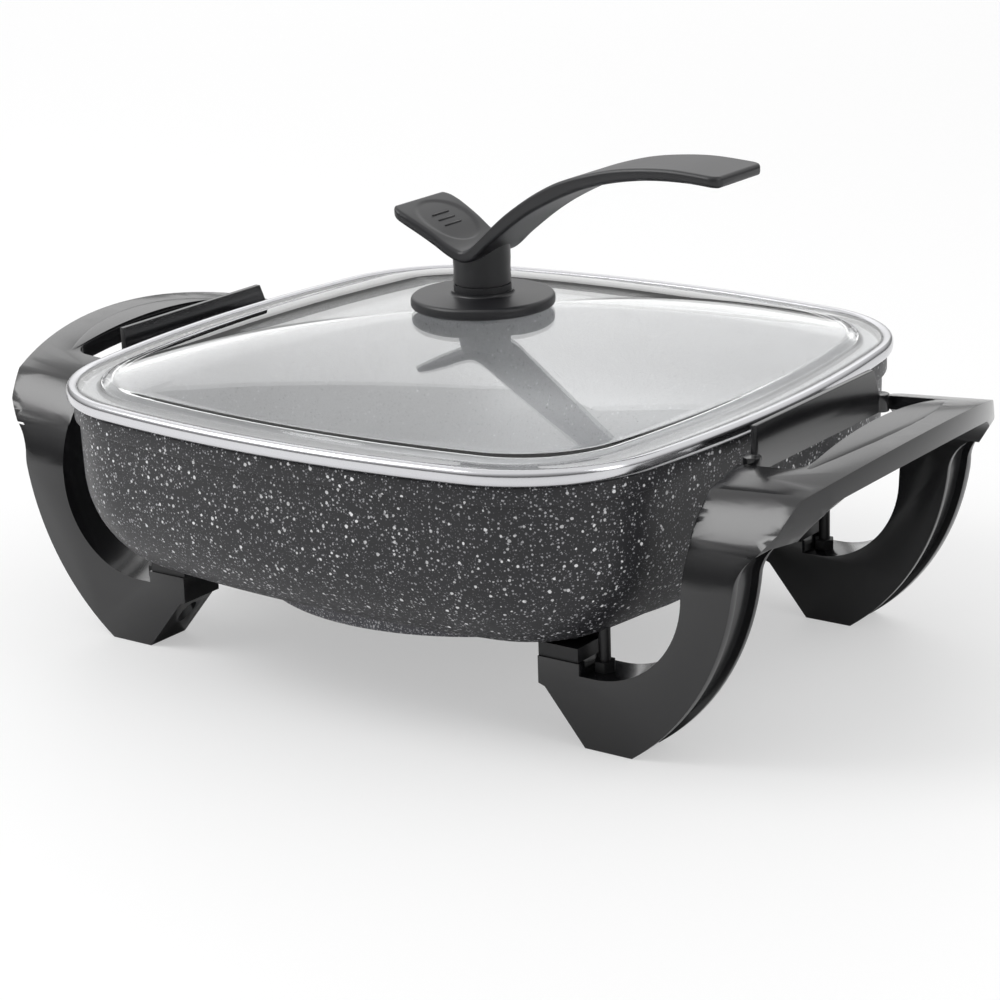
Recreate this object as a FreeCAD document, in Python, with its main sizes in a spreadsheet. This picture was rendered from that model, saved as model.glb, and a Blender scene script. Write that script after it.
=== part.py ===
import FreeCAD, Part
import os
import math
import Sketcher
from FreeCAD import Vector, Placement, Rotation

# Electric hot pot: a square cast pan on two handle frames with legs, under a lift-off glass lid.
# Millimetres. X runs along the front face, Y to the back, Z up, origin on the table under the pan's centre.

os.makedirs("parts", exist_ok=True)
doc = FreeCAD.newDocument("HotPot")
sheet = doc.addObject("Spreadsheet::Sheet", "Sizes")

sizes = {
    # pan
    "panHalf": 146.0,
    "panSideBow": 534.0,
    "panCorner": 63.0,
    "panRimHeight": 114.6,
    "panBottomHeight": 40.0,
    "panWall": 3.0,
    "panDraft": 1.4,
    "noInset": 0.0,
    "panBottomRound": 45.0,
    "flangeReach": 1.8,
    "flangeDepth": 7.6,
    "bossRadius": 100.5,
    "bossHeight": 30.0,
    "bossRound": 3.0,
    # heating element pressed into the boss
    "elementRadius": 78.0,
    "elementTube": 3.6,
    "elementSink": 2.2,
    "elementFit": 0.2,
    "coldEnd": 112.0,
    "channelStart": 74.0,
    "channelLength": 30.0,
    # handle frames
    "frameHalfDepth": 97.2,
    "legDepth": 22.0,
    "footInner": 112.5,
    "footOuter": 134.0,
    "legOuterMid": 160.5,
    "legOuterMidHeight": 26.5,
    "legOuterTop": 179.5,
    "legOuterTopHeight": 78.0,
    "flareMid": 182.4,
    "flareMidHeight": 84.6,
    "flareOut": 190.0,
    "flareHeight": 91.0,
    "hookRadius": 39.8,
    "hookCentre": 117.0,
    "hookFloor": 29.3,
    "hookEnd": 91.2,
    "hookEndLow": 23.0,
    "hookChamfer": 3.0,
    "hookPad": 34.2,
    "frameInner": 157.5,
    "legInnerStep": 2.5,
    "gripReach": 212.0,
    "gripBow": 22.5,
    "gripTop": 119.7,
    "gripArch": 14.8,
    "gripDepth": 9.4,
    "gripTilt": 9.0,
    "shoulderInner": 70.0,
    "shoulderOuter": 80.0,
    "bendStart": 72.0,
    "gripBelt": 26.0,
    "slotHalf": 56.0,
    "slotEndRound": 8.0,
    "archHalf": 75.0,
    "archRound": 14.0,
    "legRecess": 3.2,
    "recessTop": 89.0,
    "frontFlange": 4.2,
    "backFlange": 2.4,
    # finger guards
    "guardClear": 14.8,
    "guardThick": 2.4,
    "guardHalf": 50.0,
    "guardSlant": 7.0,
    "guardLow": 109.0,
    "guardTop": 124.8,
    "guardBarLow": 105.8,
    "guardBarHigh": 110.4,
    "guardFootRadius": 3.6,
    "guardFootAlong": 51.0,
    "guardFootTop": 113.0,
    # leg spacers, screws and studs
    "spacerLength": 18.4,
    "spacerInset": 0.8,
    "studRadius": 2.4,
    "studX": 115.3,
    "studReach": 30.0,
    "studNutRadius": 4.4,
    "studNutHeight": 4.2,
    "screwX": 100.7,
    "screwY": 86.2,
    "screwSeat": 27.0,
    "screwShank": 2.0,
    "screwHead": 4.0,
    "screwHeadHeight": 2.6,
    "screwFit": 0.2,
    # inlet on the left, for a plug-in thermostat
    "inletHeight": 30.5,
    "inletHalfWidth": 27.0,
    "inletHalfHeight": 9.2,
    "inletOuter": 150.0,
    "inletBack": 92.0,
    "inletWall": 2.4,
    "inletCorner": 4.6,
    "inletFit": 0.3,
    "earReach": 37.0,
    "earFront": 104.0,
    "earLow": 30.2,
    "earHigh": 39.4,
    "earScrewY": 32.0,
    "earScrewHeight": 34.8,
    "earScrewDepth": 14.0,
    "earBoreSlack": 1.0,
    "pinSpacing": 32.0,
    "pinRadius": 3.0,
    "pinTip": 138.0,
    "pinTipRound": 1.8,
    "probeRadius": 4.0,
    "probeBore": 3.1,
    "probeMouth": 144.0,
    "insulatorThick": 6.0,
    # lid
    "lidOver": 4.0,
    "lidSideBow": 534.0,
    "lidCorner": 65.0,
    "bandLow": 114.9,
    "bandHeight": 6.6,
    "bandLip": 5.2,
    "bandWall": 0.8,
    "bandRound": 1.4,
    "glassThick": 4.0,
    "glassGap": 0.3,
    "glassStepIn": 15.0,
    "glassStepRise": 2.8,
    "glassStepLean": 2.6,
    "glassPower": 2.2,
    "glassCrown": 0.1,
    "glassTop": 141.8,
    "glassHole": 4.2,
    # knob
    "sealThick": 0.9,
    "sealRadius": 24.0,
    "discRadius": 30.5,
    "discThick": 5.0,
    "discRound": 1.6,
    "stemRadius": 12.2,
    "stemSeam": 0.6,
    "collarHeight": 3.0,
    "knobHalfWidth": 16.8,
    "knobEndWidth": 18.0,
    "knobEndRound": 5.0,
    "wingEnd": -32.5,
    "wingTop": 185.6,
    "wingWiden": 3.0,
    "creaseX": 0.5,
    "creaseTop": 168.5,
    "armEnd": 126.5,
    "armTop": 210.6,
    "armThick": 4.6,
    "lidScrewRadius": 2.5,
    "lidScrewHead": 5.5,
    "lidScrewDepth": 3.2,
    "lidScrewReach": 8.0,
    "washerRadius": 9.0,
    "washerThick": 1.2,
    "washerGap": 0.3,
}
for row, (alias, value) in enumerate(sizes.items(), start=1):
    sheet.set("A%d" % row, alias)
    sheet.set("B%d" % row, str(value))
    sheet.setAlias("B%d" % row, alias)
doc.recompute()


def size(alias):
    return float(sheet.get(alias))


def planeOf(body, role):
    for feature in body.Origin.OriginFeatures:
        if feature.Role == role:
            return feature
    raise ValueError("no plane " + role)


def newBody(name):
    body = doc.addObject("PartDesign::Body", name)
    body.Label = name
    return body


def newSketch(body, name, role="XY_Plane", lift=None):
    sketch = body.newObject("Sketcher::SketchObject", name)
    sketch.AttachmentSupport = [(planeOf(body, role), "")]
    sketch.MapMode = "FlatFace"
    if lift is not None:
        sketch.setExpression("AttachmentOffset.Base.z", lift)
    return sketch


def bind(sketch, index, name, expression):
    sketch.renameConstraint(index, name)
    sketch.setExpression("Constraints." + name, expression)


def circleSketch(body, name, radius, role="XY_Plane", lift=None, at=None):
    """One circle bound to a radius, at an x and y that are bound too."""
    sketch = newSketch(body, name, role, lift)
    sketch.addGeometry(Part.Circle(Vector(5, 5, 0), Vector(0, 0, 1), 3), False)
    bind(sketch, sketch.addConstraint(Sketcher.Constraint("Radius", 0, 3.0)), "radius", radius)
    if at is None:
        sketch.addConstraint(Sketcher.Constraint("Coincident", 0, 3, -1, 1))
    else:
        bind(sketch, sketch.addConstraint(Sketcher.Constraint("DistanceX", -1, 1, 0, 3, 5.0)), "across", at[0])
        bind(sketch, sketch.addConstraint(Sketcher.Constraint("DistanceY", -1, 1, 0, 3, 5.0)), "along", at[1])
    return sketch


def cornerCentre(half, bow, corner):
    """Centre of a corner arc that runs smoothly into two bowed sides."""
    b = 2 * (bow - half)
    c = (half - bow) ** 2 - (bow - corner) ** 2
    return (-b + math.sqrt(b * b - 8 * c)) / 4


def bowedArcs(half, bow, corner):
    """The eight arcs of a square with bowed sides, side and corner in turn."""
    centre = cornerCentre(half, bow, corner)
    turn = math.atan2(centre, centre - half + bow)
    arcs = []
    for quarter in range(4):
        swing = quarter * math.pi / 2
        ahead = Vector(math.cos(swing), math.sin(swing), 0)
        side = Part.Circle(ahead * (half - bow), Vector(0, 0, 1), bow)
        arcs.append(Part.ArcOfCircle(side, swing - turn, swing + turn))
        spin = Rotation(Vector(0, 0, 1), math.degrees(swing))
        round_ = Part.Circle(spin.multVec(Vector(centre, centre, 0)), Vector(0, 0, 1), corner)
        arcs.append(Part.ArcOfCircle(round_, swing + turn, swing + math.pi / 2 - turn))
    return arcs


def bowedSketch(body, name, half, bow, corner, values, lift=None, sketch=None):
    """A closed square with bowed sides, bound to its half width, its bow radius and its corner radius."""
    if sketch is None:
        sketch = newSketch(body, name, lift=lift)
    first = sketch.GeometryCount
    for arc in bowedArcs(*values):
        sketch.addGeometry(arc, False)
    for index in range(8):
        after = first + (index + 1) % 8
        sketch.addConstraint(Sketcher.Constraint("Tangent", first + index, 2, after, 1))
    tag = "Bow%d" % first
    sides = [first, first + 2, first + 4, first + 6]
    for side in sides[1:]:
        sketch.addConstraint(Sketcher.Constraint("Equal", sides[0], side))
    for side in sides[1:]:
        sketch.addConstraint(Sketcher.Constraint("Equal", sides[0] + 1, side + 1))
    index = sketch.addConstraint(Sketcher.Constraint("Radius", sides[0], values[1]))
    bind(sketch, index, "side" + tag, bow)
    index = sketch.addConstraint(Sketcher.Constraint("Radius", sides[0] + 1, values[2]))
    bind(sketch, index, "corner" + tag, corner)
    back = "(%s) - (%s)" % (bow, half)
    setback = values[1] - values[0]
    for side, axis in zip(sides, (-1, -2, -1, -2)):
        sketch.addConstraint(Sketcher.Constraint("PointOnObject", side, 3, axis))
    index = sketch.addConstraint(Sketcher.Constraint("DistanceX", sides[0], 3, -1, 1, setback))
    bind(sketch, index, "east" + tag, back)
    index = sketch.addConstraint(Sketcher.Constraint("DistanceY", sides[1], 3, -1, 1, setback))
    bind(sketch, index, "north" + tag, back)
    index = sketch.addConstraint(Sketcher.Constraint("DistanceX", -1, 1, sides[2], 3, setback))
    bind(sketch, index, "west" + tag, back)
    index = sketch.addConstraint(Sketcher.Constraint("DistanceY", -1, 1, sides[3], 3, setback))
    bind(sketch, index, "south" + tag, back)
    return sketch


def feature(body, kind, name, profile, **settings):
    item = body.newObject("PartDesign::" + kind, name)
    item.Profile = profile
    for key, value in settings.items():
        if isinstance(value, str) and key in ("Length", "TaperAngle", "Angle"):
            item.setExpression(key, value)
        else:
            setattr(item, key, value)
    return item


def lowEdges(shape, level, slack=0.05):
    """Names of the edges that lie flat at one level."""
    found = []
    for index, edge in enumerate(shape.Edges, start=1):
        box = edge.BoundBox
        if abs(box.ZMin - level) < slack and abs(box.ZMax - level) < slack:
            found.append("Edge%d" % index)
    return found


def checkSmaller(before, after, name):
    if not after.Shape.Volume < before:
        raise RuntimeError(name + " cuts nothing")
    return after.Shape.Volume


# The pan: a drafted square with a wide bottom round, a thin flange, and a round boss for the element


def draftedBlock(name, inset, low):
    """A body that narrows downwards from the rim, with its bottom edge rounded."""
    body = newBody(name)
    values = (size("panHalf") - size(inset), size("panSideBow"), size("panCorner") - size(inset))
    sketch = bowedSketch(body, name + "Outline", "Sizes.panHalf - Sizes." + inset, "Sizes.panSideBow",
                         "Sizes.panCorner - Sizes." + inset, values, "Sizes.panRimHeight")
    block = feature(body, "Pad", name + "Block", sketch, Reversed=True, TaperAngle="-Sizes.panDraft",
                    Length="Sizes.panRimHeight - (%s)" % low)
    doc.recompute()
    level = block.Shape.BoundBox.ZMin
    rounded = body.newObject("PartDesign::Fillet", name + "Round")
    rounded.Base = (block, lowEdges(block.Shape, level))
    rounded.setExpression("Radius", "Sizes.panBottomRound - Sizes." + inset)
    doc.recompute()
    return body


pan = draftedBlock("PanOutside", "noInset", "Sizes.panBottomHeight")
bossSketch = circleSketch(pan, "BossOutline", "Sizes.bossRadius", lift="Sizes.bossHeight")
boss = feature(pan, "Pad", "Boss", bossSketch, Length="Sizes.panBottomHeight - Sizes.bossHeight + Sizes.panWall")
doc.recompute()
bossEdge = pan.newObject("PartDesign::Fillet", "BossRound")
bossEdge.Base = (boss, lowEdges(boss.Shape, size("bossHeight")))
bossEdge.setExpression("Radius", "Sizes.bossRound")
flangeValues = (size("panHalf") + size("flangeReach"), size("panSideBow"), size("panCorner") + size("flangeReach"))
flangeSketch = bowedSketch(pan, "FlangeOutline", "Sizes.panHalf + Sizes.flangeReach", "Sizes.panSideBow",
                           "Sizes.panCorner + Sizes.flangeReach", flangeValues, "Sizes.panRimHeight")
flange = feature(pan, "Pad", "Flange", flangeSketch, Reversed=True, Length="Sizes.flangeDepth")
grooveSketch = newSketch(pan, "GrooveProfile", "XZ_Plane")
grooveSketch.addGeometry(Part.Circle(Vector(size("elementRadius"), size("bossHeight"), 0), Vector(0, 0, 1), 4), False)
bind(grooveSketch, grooveSketch.addConstraint(Sketcher.Constraint("Radius", 0, 4.0)), "bore",
     "Sizes.elementTube + Sizes.elementFit")
bind(grooveSketch, grooveSketch.addConstraint(Sketcher.Constraint("DistanceX", -1, 1, 0, 3, 78.0)), "reach",
     "Sizes.elementRadius")
bind(grooveSketch, grooveSketch.addConstraint(Sketcher.Constraint("DistanceY", -1, 1, 0, 3, 30.0)), "level",
     "Sizes.bossHeight + Sizes.elementSink")
doc.recompute()
beforeGroove = flange.Shape.Volume
groove = feature(pan, "Groove", "ElementGroove", grooveSketch, ReferenceAxis=(grooveSketch, ["V_Axis"]), Angle=360.0)
doc.recompute()
checkSmaller(beforeGroove, groove, "ElementGroove")
cavity = draftedBlock("PanInside", "panWall", "Sizes.panBottomHeight + Sizes.panWall")
panHollow = doc.addObject("Part::Cut", "PanHollow")
panHollow.Base = pan
panHollow.Tool = cavity


def boreAlongX(name, radius, length, start, along, level):
    """A round bore that runs from a start outwards to the left, every value bound to the sheet."""
    bore = doc.addObject("Part::Cylinder", name)
    bore.setExpression("Radius", radius)
    bore.setExpression("Height", length)
    bore.Placement = Placement(Vector(0, 0, 0), Rotation(Vector(0, 1, 0), -90))
    bore.setExpression("Placement.Base.x", start)
    bore.setExpression("Placement.Base.y", along)
    bore.setExpression("Placement.Base.z", level)
    return bore


bores = []
for side, sign in (("Front", "-"), ("Back", "")):
    bores.append(boreAlongX("Channel" + side, "Sizes.elementTube + Sizes.elementFit", "Sizes.channelLength",
                            "-Sizes.channelStart", sign + "Sizes.pinSpacing / 2",
                            "Sizes.bossHeight + Sizes.elementSink"))
    bores.append(boreAlongX("EarBore" + side, "Sizes.screwShank + Sizes.screwFit", "Sizes.earScrewDepth + Sizes.earBoreSlack",
                            "-Sizes.earFront + Sizes.earScrewDepth", sign + "Sizes.earScrewY",
                            "Sizes.earScrewHeight"))
boreTools = doc.addObject("Part::MultiFuse", "PanBores")
boreTools.Shapes = bores
panBody = doc.addObject("Part::Cut", "pan_body")
panBody.Base = panHollow
panBody.Tool = boreTools
doc.recompute()


# Small helpers for turned pieces and for pieces that follow a section


def turned(name, points, at=(0.0, 0.0)):
    """A piece turned about the vertical: each corner is a radius and a height, None for a corner on the axis."""
    body = newBody(name)
    sketch = newSketch(body, name + "Profile", "XZ_Plane")
    count = len(points)
    spots = [Vector(0 if corner[0] is None else 5 + index, 5 + 3 * index, 0) for index, corner in enumerate(points)]
    for index in range(count):
        sketch.addGeometry(Part.LineSegment(spots[index], spots[(index + 1) % count]), False)
    for index in range(count):
        sketch.addConstraint(Sketcher.Constraint("Coincident", index, 2, (index + 1) % count, 1))
    for index, (radius, height) in enumerate(points):
        if radius is None:
            sketch.addConstraint(Sketcher.Constraint("PointOnObject", index, 1, -2))
        else:
            row = sketch.addConstraint(Sketcher.Constraint("DistanceX", -1, 1, index, 1, spots[index].x))
            bind(sketch, row, "radius%d" % index, radius)
        row = sketch.addConstraint(Sketcher.Constraint("DistanceY", -1, 1, index, 1, spots[index].y))
        bind(sketch, row, "height%d" % index, height)
    feature(body, "Revolution", name + "Turn", sketch, ReferenceAxis=(sketch, ["V_Axis"]), Angle=360.0)
    body.Placement = Placement(Vector(at[0], at[1], 0), Rotation())
    return body


def prism(points, axis, near, far):
    """A solid from a flat outline of points and arcs, swept straight along one axis between two places."""
    edges = []
    here = points[0]
    for step in points[1:] + [points[0]]:
        if len(step) == 4:
            middle, end = (step[0], step[1]), (step[2], step[3])
            edges.append(Part.Arc(place(here, axis, near), place(middle, axis, near), place(end, axis, near)).toShape())
            here = end
        else:
            edges.append(Part.LineSegment(place(here, axis, near), place(step, axis, near)).toShape())
            here = step
    face = Part.Face(Part.Wire(edges))
    return face.extrude(place((0, 0), axis, far - near))


def place(pair, axis, level):
    if axis == "X":
        return Vector(level, pair[0], pair[1])
    if axis == "Y":
        return Vector(pair[0], level, pair[1])
    return Vector(pair[0], pair[1], level)


def keep(name, shape):
    """Puts a finished solid into the document under its own name."""
    item = doc.addObject("Part::Feature", name)
    item.Label = name
    item.Shape = shape
    return item


def flatLoft(sections):
    """A solid with straight walls between closed outlines."""
    return Part.makeLoft(sections, True, True)


# The handle frames: each is one moulding of two legs and a bowed grip that arches between them


def archHeight(y, top):
    """Height of a shallow arch over the frame's depth, with its highest point at the middle."""
    return top - size("gripArch") * (y / size("frameHalfDepth")) ** 2


def skinWire(x, shoulder, drop):
    """The frame's section seen from the side: upright faces that bend back over shoulders into the arch."""
    depth = size("frameHalfDepth")
    top = size("gripTop") - drop
    edge = shoulder
    level = archHeight(edge, top)
    start = size("bendStart")
    midY = depth - 0.3 * (depth - edge)
    midZ = start + 0.56 * (level - start)
    corners = [(-depth, 0.0), (-depth, start), (-edge, level), (edge, level), (depth, start), (depth, 0.0)]
    near = Part.Arc(place(corners[1], "X", x), place((-midY, midZ), "X", x), place(corners[2], "X", x))
    over = Part.Arc(place(corners[2], "X", x), place((0, top), "X", x), place(corners[3], "X", x))
    far = Part.Arc(place(corners[3], "X", x), place((midY, midZ), "X", x), place(corners[4], "X", x))
    rise = Part.LineSegment(place(corners[0], "X", x), place(corners[1], "X", x))
    fall = Part.LineSegment(place(corners[4], "X", x), place(corners[5], "X", x))
    base = Part.LineSegment(place(corners[5], "X", x), place(corners[0], "X", x))
    return Part.Wire([curve.toShape() for curve in (rise, near, over, far, fall, base)])


def skinBlock():
    """The space under the frame's outer skin."""
    inner, outer = size("hookEnd") - 10, size("gripReach") + 10
    return flatLoft([skinWire(inner, size("shoulderInner"), size("gripTilt")),
                     skinWire(outer, size("shoulderOuter"), 0.0)])


def bowedPlan(inner, reach, bow, half, low, high):
    """A plan that is straight on the pan's side and bows outwards on the other, as a tall block."""
    points = [(inner, -half), (reach - bow, -half), (reach, 0.0, reach - bow, half), (inner, half)]
    return prism(points, "Z", low, high)


def legOutline():
    """The J of a leg seen from the front: flat foot, round back, hook that reaches in under the pan."""
    centreHeight = size("hookFloor") + size("hookRadius")
    diagonal = size("hookRadius") * math.sqrt(0.5)
    inner = size("hookCentre") + size("hookRadius")
    padEnd = size("hookEnd") + size("spacerLength") + size("spacerInset")
    return [
        (size("footInner"), 0.0),
        (size("footOuter"), 0.0),
        (size("legOuterMid"), size("legOuterMidHeight"), size("legOuterTop"), size("legOuterTopHeight")),
        (size("flareMid"), size("flareMidHeight"), size("flareOut"), size("flareHeight")),
        (size("gripReach") + 5, size("flareHeight") + 4),
        (size("gripReach") + 5, size("gripTop") + 5),
        (size("frameInner") + size("legInnerStep"), size("gripTop") + 5),
        (inner, centreHeight),
        (size("hookCentre") + diagonal, centreHeight - diagonal, size("hookCentre"), size("hookFloor")),
        (padEnd, size("hookFloor")),
        (padEnd, size("hookPad")),
        (size("hookEnd"), size("hookPad")),
        (size("hookEnd"), size("hookEndLow")),
        (size("hookEnd") + size("hookChamfer"), size("hookEndLow") - 1),
    ]


# the slot leaves a belt of grip; the guard and the lid keep their distance to the pan
slotOuter = size("gripReach") - size("gripBelt")
guardPlane = size("panHalf") + size("guardClear")
lidHalf = size("panHalf") + size("lidOver")


def handleFrame():
    """The right-hand frame."""
    depth, inside = size("frameHalfDepth"), size("frameHalfDepth") - size("legDepth")
    skin = skinBlock()
    legs = prism(legOutline(), "Y", -depth, -inside)
    recess = prism(legOutline(), "Y", -depth + size("frontFlange"), -inside - size("backFlange"))
    step = recess.copy()
    step.translate(Vector(-size("legRecess"), 0, 0))
    belowGrip = Part.makeBox(400, 400, size("recessTop"), Vector(0, -200, 0))
    legs = legs.cut(recess.cut(step).common(belowGrip))
    legs = legs.fuse(legs.mirror(Vector(0, 0, 0), Vector(0, 1, 0)))
    plan = bowedPlan(size("frameInner"), size("gripReach"), size("gripBow"), depth,
                     size("flareHeight"), 140)
    low = bowedPlan(80, size("gripReach"), size("gripBow"), depth, -1, 140)
    band = plan.common(skin)
    frame = legs.common(skin).common(low).fuse(band)
    archTop = size("gripTop") - size("gripDepth")
    half = size("archHalf")
    level = archHeight(half, archTop) - size("archRound")
    shoulder = half - size("archRound")
    bend = size("archRound") * (1 - math.sqrt(0.5))
    opening = prism([(-half, -1), (half, -1), (half, level), (half - bend, level + size("archRound") - bend, shoulder,
                    archHeight(shoulder, archTop)), (0.0, archTop, -shoulder, archHeight(shoulder, archTop)),
                    (-half + bend, level + size("archRound") - bend, -half, level)], "X", 80, 230)
    frame = frame.cut(opening)
    slot = Part.makeBox(slotOuter - size("frameInner") + 1, 2 * size("slotHalf"), 60,
                        Vector(size("frameInner") - 1, -size("slotHalf"), 80))
    outer = slotOuter - 1
    ends = [edge for edge in slot.Edges if edge.BoundBox.ZLength > 10 and edge.BoundBox.XMin > outer]
    slot = slot.makeFillet(size("slotEndRound"), ends)
    frame = frame.cut(slot)
    for side in (-1, 1):
        across, along = size("screwX"), side * size("screwY")
        bore = Part.makeCylinder(size("screwShank") + size("screwFit"), 40, Vector(across, along, 0))
        sink = Part.makeCylinder(size("screwHead") + size("screwFit"), size("screwSeat"), Vector(across, along, 0))
        frame = frame.cut(bore.fuse(sink))
    return frame


def mirrored(shape, axis):
    return shape.mirror(Vector(0, 0, 0), axis)


acrossX, acrossY = Vector(1, 0, 0), Vector(0, 1, 0)
frameShape = handleFrame()
keep("right_handle_frame", frameShape)
keep("left_handle_frame", mirrored(frameShape, acrossX))


# Finger guards: thin upright plates between the grip and the hot rim, with a round foot at each end


def fingerGuard():
    near, far = guardPlane - size("guardThick") / 2, guardPlane + size("guardThick") / 2
    half, low, high = size("guardHalf"), size("guardLow"), size("guardTop")
    plate = prism([(-half, low), (half, low), (half - size("guardSlant"), high), (-half, high)], "X", near, far)
    bar = Part.makeBox(far - near, 2 * size("slotHalf"), size("guardBarHigh") - size("guardBarLow"),
                       Vector(near, -size("slotHalf"), size("guardBarLow")))
    plate = plate.fuse(bar)
    for side in (-1, 1):
        spot = Vector(guardPlane, side * size("guardFootAlong"), size("guardBarLow"))
        plate = plate.fuse(Part.makeCylinder(size("guardFootRadius"), size("guardFootTop") - spot.z, spot))
    return plate.removeSplitter()


guardShape = fingerGuard()
keep("right_finger_guard", guardShape)
keep("left_finger_guard", mirrored(guardShape, acrossX))


# What joins the legs to the pan: a spacer block, a screw and a stud with its nut at each corner


def spacerBlock():
    """The block between a leg's hook and the pan's underside, at the right front corner."""
    inset = size("spacerInset")
    block = Part.makeBox(size("spacerLength"), size("legDepth") - 2 * inset,
                         size("panBottomHeight") - size("hookPad"),
                         Vector(size("hookEnd"), -size("frameHalfDepth") + inset, size("hookPad")))
    bore = Part.makeCylinder(size("screwShank") + size("screwFit"), size("panRimHeight"),
                             Vector(size("screwX"), -size("screwY"), 0))
    return block.cut(bore)


def legScrew():
    head = Part.makeCylinder(size("screwHead"), size("screwHeadHeight"),
                             Vector(size("screwX"), -size("screwY"), size("screwSeat") - size("screwHeadHeight")))
    shank = Part.makeCylinder(size("screwShank"), size("panBottomHeight") - size("screwSeat"),
                              Vector(size("screwX"), -size("screwY"), size("screwSeat")))
    return head.fuse(shank)


def legStud():
    stud = Part.makeCylinder(size("studRadius"), size("studReach"),
                             Vector(size("studX"), -size("screwY"), size("hookFloor")))
    below = stud.cut(pan.Shape)
    return min(below.Solids, key=lambda solid: solid.BoundBox.ZMin)


def hexagon(radius, height, spot):
    turns = [k * math.pi / 3 for k in range(6)]
    corners = [(spot.x + radius * math.cos(turn), spot.y + radius * math.sin(turn)) for turn in turns]
    return prism(corners, "Z", spot.z, spot.z + height)


def studNut():
    spot = Vector(size("studX"), -size("screwY"), size("hookFloor"))
    bore = Part.makeCylinder(size("studRadius"), size("studNutHeight"), spot)
    return hexagon(size("studNutRadius"), size("studNutHeight"), spot).cut(bore).cut(frameShape)


def fourCorners(shape):
    pair = [shape, mirrored(shape, acrossX)]
    return pair + [mirrored(one, acrossY) for one in pair]


cornerNames = ("front_right", "front_left", "back_right", "back_left")
for corner, block in zip(cornerNames, fourCorners(spacerBlock())):
    keep(corner + "_leg_spacer", block)
keep("leg_screws", Part.makeCompound(fourCorners(legScrew())))
keep("leg_studs", Part.makeCompound(fourCorners(legStud())))
keep("stud_nuts", Part.makeCompound(fourCorners(studNut())))


# The heating element and the inlet for the plug-in thermostat, under the left handle

pinHeight = size("bossHeight") + size("elementSink")
pinReach = math.sqrt(size("elementRadius") ** 2 - (size("pinSpacing") / 2) ** 2)
pinY = size("pinSpacing") / 2


def alongX(radius, start, end, y, z):
    return Part.makeCylinder(radius, end - start, Vector(start, y, z), acrossX)


def heatingElement():
    opening = math.degrees(math.atan2(pinY, pinReach))
    sweep = 360 - 2 * opening
    ring = Part.makeTorus(size("elementRadius"), size("elementTube"), Vector(), Vector(0, 0, 1), 0, 360, sweep)
    ring.Placement = Placement(Vector(0, 0, pinHeight), Rotation(Vector(0, 0, 1), 180 + opening))
    for side in (-1, 1):
        ring = ring.fuse(alongX(size("elementTube"), -size("coldEnd"), 1 - pinReach, side * pinY, pinHeight))
    return ring


def roundedBlock(low, high, halfWidth, halfHeight, corner):
    start = Vector(low, -halfWidth, size("inletHeight") - halfHeight)
    box = Part.makeBox(high - low, 2 * halfWidth, 2 * halfHeight, start)
    return box.makeFillet(corner, [edge for edge in box.Edges if edge.BoundBox.XLength > high - low - 0.01])


def bossSeat():
    """The boss grown by a small fit, so what is seated against it keeps clear of its curve."""
    return Part.makeCylinder(size("bossRadius") + size("inletFit"), size("panRimHeight"))


def inletShroud():
    wall, width, height = size("inletWall"), size("inletHalfWidth"), size("inletHalfHeight")
    outer = roundedBlock(-size("inletOuter"), -size("inletBack"), width, height, size("inletCorner"))
    inner = roundedBlock(-size("inletOuter") - 1, -size("inletBack") + 1, width - wall, height - wall,
                         size("inletCorner") - wall)
    ears = Part.makeBox(size("earFront") - size("inletBack"), 2 * size("earReach"),
                        size("earHigh") - size("earLow"),
                        Vector(-size("earFront"), -size("earReach"), size("earLow")))
    shroud = outer.fuse(ears).cut(inner).cut(bossSeat())
    for side in (-1, 1):
        shroud = shroud.cut(alongX(size("screwShank") + size("screwFit"), -size("inletOuter"), 0,
                                   side * size("earScrewY"), size("earScrewHeight")))
    return shroud


def earScrews():
    screws = []
    for side in (-1, 1):
        along, level = side * size("earScrewY"), size("earScrewHeight")
        head = alongX(size("screwHead"), -size("earFront") - size("screwHeadHeight"), -size("earFront"), along, level)
        shank = alongX(size("screwShank"), -size("earFront"), -size("earFront") + size("earScrewDepth"), along, level)
        screws.append(head.fuse(shank))
    return Part.makeCompound(screws)


def inletInsulator():
    fit, wall = size("inletFit"), size("inletWall")
    block = roundedBlock(-size("coldEnd") - size("insulatorThick"), -size("coldEnd"),
                         size("inletHalfWidth") - wall - fit, size("inletHalfHeight") - wall - fit,
                         size("inletCorner") - wall)
    for side in (-1, 1):
        block = block.cut(alongX(size("pinRadius") + size("screwFit"), -size("inletOuter"), 0, side * pinY, pinHeight))
    return block.cut(alongX(size("probeRadius") + size("screwFit"), -size("inletOuter"), 0, 0, pinHeight))


def terminalPin(side):
    pin = alongX(size("pinRadius"), -size("pinTip"), -size("coldEnd"), side * pinY, pinHeight)
    tip = [edge for edge in pin.Edges if edge.BoundBox.XMax < -size("pinTip") + 0.1]
    return pin.makeFillet(size("pinTipRound"), tip)


def probeTube():
    tube = alongX(size("probeRadius"), -size("probeMouth"), -size("inletBack"), 0, pinHeight)
    bore = alongX(size("probeBore"), -size("probeMouth") - 1, -size("coldEnd"), 0, pinHeight)
    pieces = tube.cut(Part.makeCylinder(size("bossRadius"), size("panRimHeight"))).cut(bore)
    return min(pieces.Solids, key=lambda solid: solid.BoundBox.XMin)


keep("heating_element", heatingElement())
keep("inlet_shroud", inletShroud())
keep("shroud_screws", earScrews())
keep("inlet_insulator", inletInsulator())
keep("terminal_pin_front", terminalPin(-1))
keep("terminal_pin_back", terminalPin(1))
keep("probe_tube", probeTube())


# The lid: a stainless band round a pressed glass dome


def bowedWire(half, corner, level, share=1.0):
    arcs = bowedArcs(half * share, size("lidSideBow") * share, corner * share)
    wire = Part.Wire([arc.toShape() for arc in arcs])
    wire.translate(Vector(0, 0, level))
    return wire


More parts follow.
